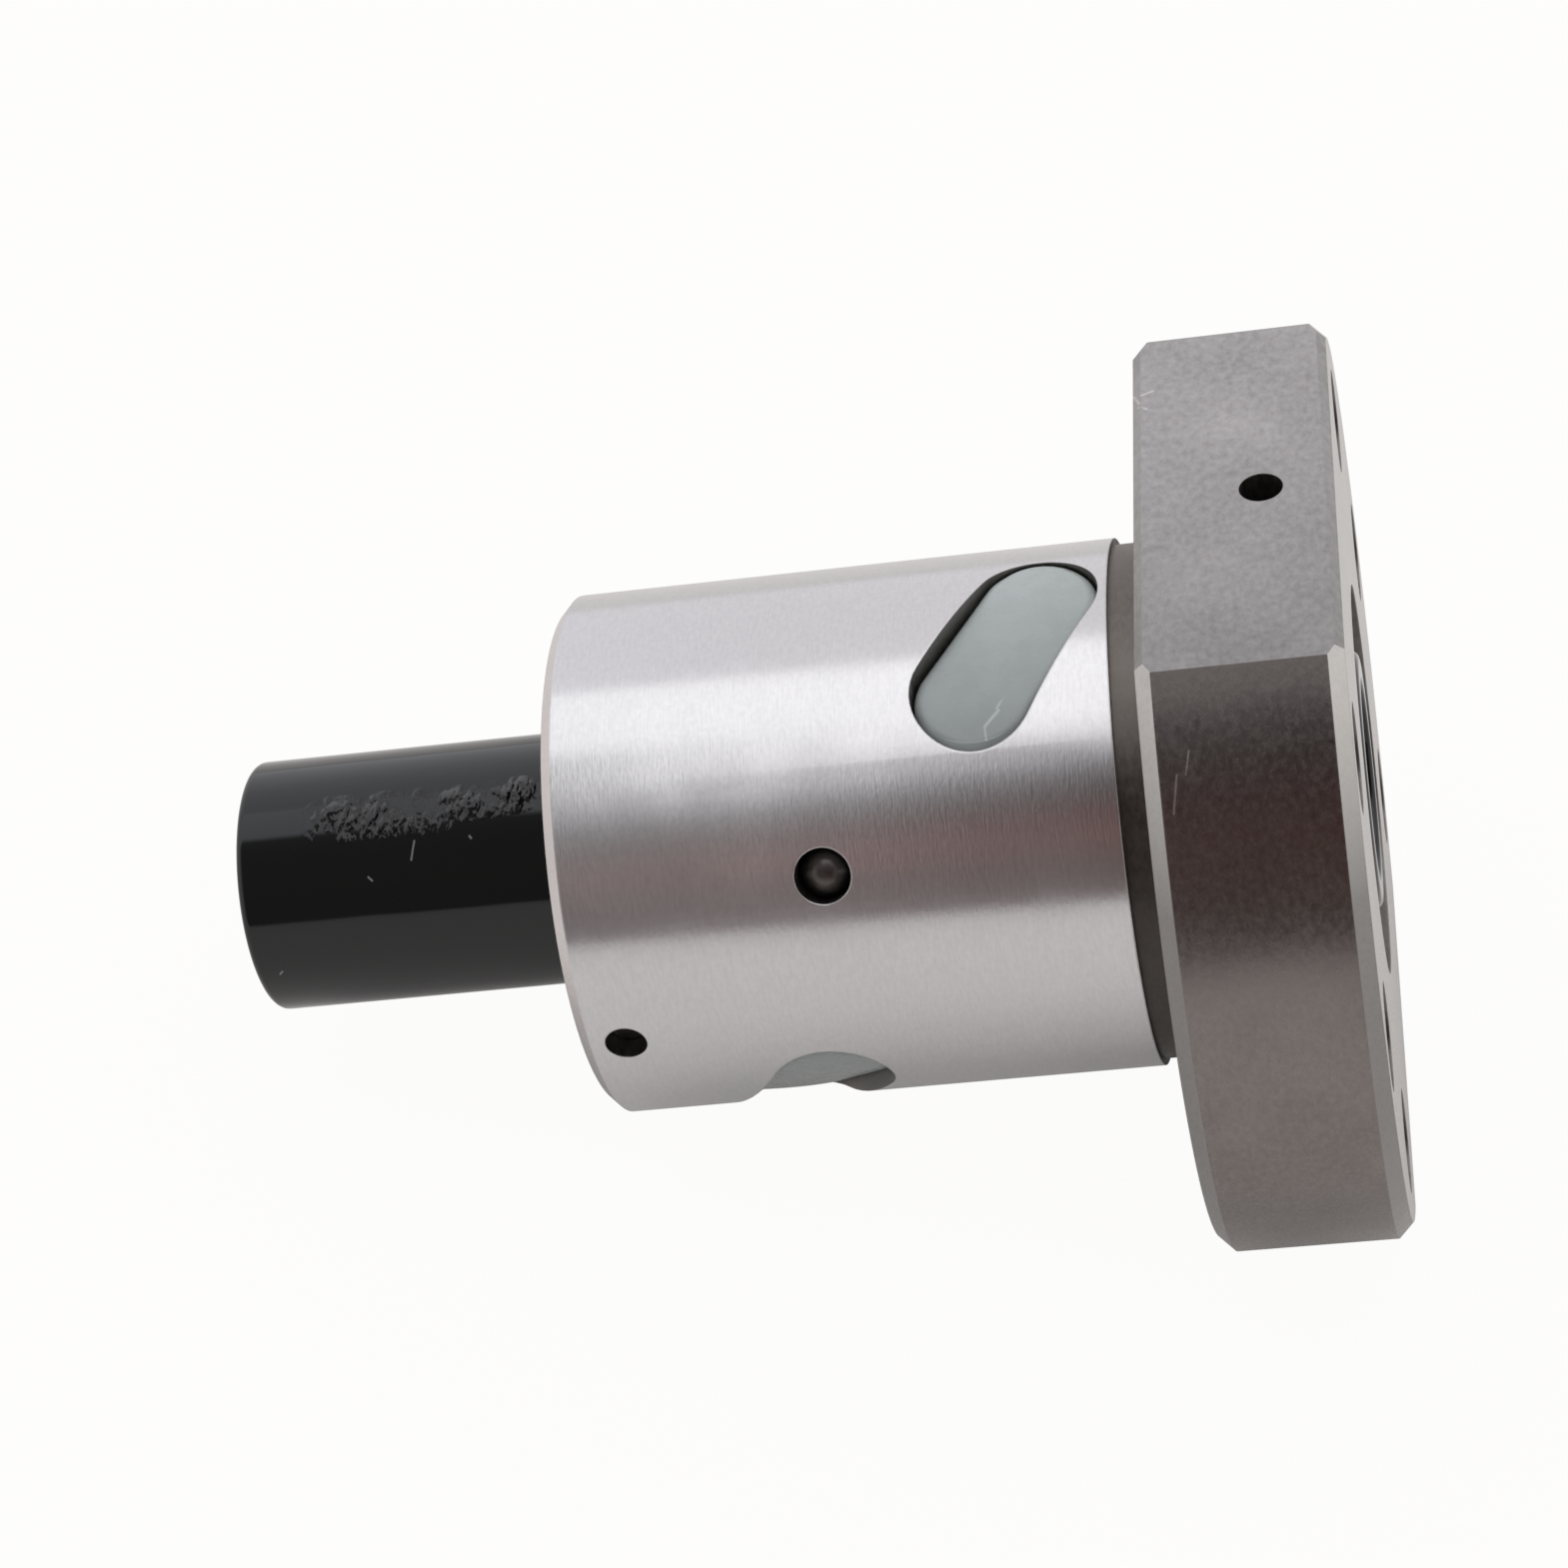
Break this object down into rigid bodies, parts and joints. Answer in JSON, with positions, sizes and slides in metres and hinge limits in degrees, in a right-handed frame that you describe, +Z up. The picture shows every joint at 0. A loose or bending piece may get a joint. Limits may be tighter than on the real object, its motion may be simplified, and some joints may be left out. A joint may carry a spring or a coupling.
{
  "type": "flanged ball nut on a transport sleeve",
  "caption": "Flanged ball nut with internal return caps and wipers, held on a plastic transport sleeve that slides out when the nut goes onto its screw.",
  "frame": {"origin": "centre of the flange's mounting face, on the nut's axis", "axes": "The nut lies as it rests on a table: +Z up, +X along the longest extent, from the sleeve's free end to the flange. The nut's axis lies in the XZ plane and rises towards +X by 10.835 degrees."},
  "size_m": [0.0638, 0.048, 0.041],
  "materials": {
    "nut_steel": "fine ground steel",
    "cap_plastic": "matte",
    "wiper_plastic": "matte",
    "grub_steel": "dark oxide",
    "ball_steel": "polished",
    "sleeve_plastic": "gloss"
  },
  "bodies": {
    "nut": {"circuit_1_ball_01": "ball_steel", "circuit_1_ball_02": "ball_steel", "circuit_1_ball_03": "ball_steel", "circuit_1_ball_04": "ball_steel", "circuit_1_ball_05": "ball_steel", "circuit_1_ball_06": "ball_steel", "circuit_1_ball_07": "ball_steel", "circuit_1_ball_08": "ball_steel", "circuit_1_ball_09": "ball_steel", "circuit_1_ball_10": "ball_steel", "circuit_1_ball_11": "ball_steel", "circuit_1_ball_12": "ball_steel", "circuit_1_ball_13": "ball_steel", "circuit_1_ball_14": "ball_steel", "circuit_1_ball_15": "ball_steel", "circuit_1_ball_16": "ball_steel", "circuit_2_ball_01": "ball_steel", "circuit_2_ball_02": "ball_steel", "circuit_2_ball_03": "ball_steel", "circuit_2_ball_04": "ball_steel", "circuit_2_ball_05": "ball_steel", "circuit_2_ball_06": "ball_steel", "circuit_2_ball_07": "ball_steel", "circuit_2_ball_08": "ball_steel", "circuit_2_ball_09": "ball_steel", "circuit_2_ball_10": "ball_steel", "circuit_2_ball_11": "ball_steel", "circuit_2_ball_12": "ball_steel", "circuit_2_ball_13": "ball_steel", "circuit_2_ball_14": "ball_steel", "circuit_2_ball_15": "ball_steel", "circuit_2_ball_16": "ball_steel", "circuit_3_ball_01": "ball_steel", "circuit_3_ball_02": "ball_steel", "circuit_3_ball_03": "ball_steel", "circuit_3_ball_04": "ball_steel", "circuit_3_ball_05": "ball_steel", "circuit_3_ball_06": "ball_steel", "circuit_3_ball_07": "ball_steel", "circuit_3_ball_08": "ball_steel", "circuit_3_ball_09": "ball_steel", "circuit_3_ball_10": "ball_steel", "circuit_3_ball_11": "ball_steel", "circuit_3_ball_12": "ball_steel", "circuit_3_ball_13": "ball_steel", "circuit_3_ball_14": "ball_steel", "circuit_3_ball_15": "ball_steel", "circuit_3_ball_16": "ball_steel", "grub_screw_flange_end": "grub_steel", "grub_screw_free_end": "grub_steel", "nut_body": "nut_steel", "plug_ball": "ball_steel", "return_cap_1": "cap_plastic", "return_cap_2": "cap_plastic", "return_cap_3": "cap_plastic", "wiper_flange_end": "wiper_plastic", "wiper_free_end": "wiper_plastic"},
    "sleeve": {"transport_sleeve": "sleeve_plastic"}
  },
  "joints": [
    {"name": "sleeve_slide", "type": "slide", "parent": "nut", "child": "sleeve", "axis": [0.9822, 0, 0.188], "range_m": [-0.01, 0.018]}
  ]
}
